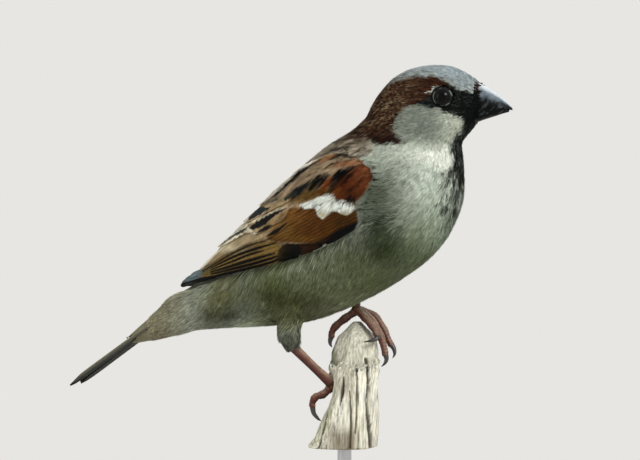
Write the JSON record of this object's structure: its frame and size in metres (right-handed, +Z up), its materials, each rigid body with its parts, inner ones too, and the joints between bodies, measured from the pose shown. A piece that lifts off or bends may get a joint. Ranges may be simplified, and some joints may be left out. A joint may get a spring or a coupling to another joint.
{
  "type": "house sparrow",
  "caption": "Life-size still model of an adult male house sparrow gripping a short weathered branch, held by a rod on a round display base.",
  "frame": {"origin": "centre of the underside of the round stand base, on the surface it stands on", "axes": "+Z up, +X the way the bird faces (bill), +Y the bird's left side"},
  "size_m": [0.1318, 0.084, 0.1472],
  "materials": {
    "head_feathers": "grey crown, chestnut band from the eye to the nape, pale grey cheek, black bib and lores; short, close, soft feathers",
    "body_feathers": "pale ash grey breast and flanks, mottled black bib on the upper breast, buff-brown back with black streaks; soft, slightly loose feathers",
    "wing_feathers": "chestnut lesser coverts, white bar, dark-centred feathers with rufous and buff edges; smooth and faintly glossy",
    "tail_feathers": "dark grey-brown with narrow pale edges; smooth",
    "bill": "blue-black horn with a soft shine along the ridge",
    "eye": "wet, near-black brown",
    "claw": "dark grey horn",
    "leg_skin": "pinkish-brown scaled skin, satin",
    "branch_wood": "barkless weathered wood, bleached cream and grey, with fine lengthwise cracks",
    "base_wood": "satin-varnished turned hardwood",
    "rod_steel": "plain brushed rod"
  },
  "bodies": {
    "root": {"stand_rod": "rod_steel", "bill_upper": "bill", "bill_lower": "bill", "eye_right": "eye", "claw_right_hallux": "claw", "claw_right_inner": "claw", "claw_right_middle": "claw", "claw_right_outer": "claw", "tarsus_right": "leg_skin", "toe_right_hallux": "leg_skin", "toe_right_inner": "leg_skin", "toe_right_middle": "leg_skin", "toe_right_outer": "leg_skin", "eye_left": "eye", "claw_left_hallux": "claw", "claw_left_inner": "claw", "claw_left_middle": "claw", "claw_left_outer": "claw", "tarsus_left": "leg_skin", "toe_left_hallux": "leg_skin", "toe_left_inner": "leg_skin", "toe_left_middle": "leg_skin", "toe_left_outer": "leg_skin", "wing_right_coverts": "wing_feathers", "wing_right_tertials": "wing_feathers", "wing_right_quills": "wing_feathers", "wing_left_coverts": "wing_feathers", "wing_left_tertials": "wing_feathers", "wing_left_quills": "wing_feathers", "tail": "tail_feathers", "head": "head_feathers", "neck": "body_feathers", "trunk": "body_feathers", "thigh_right": "body_feathers", "thigh_left": "body_feathers", "perch": "branch_wood", "stand_base": "base_wood"}
  },
  "joints": []
}
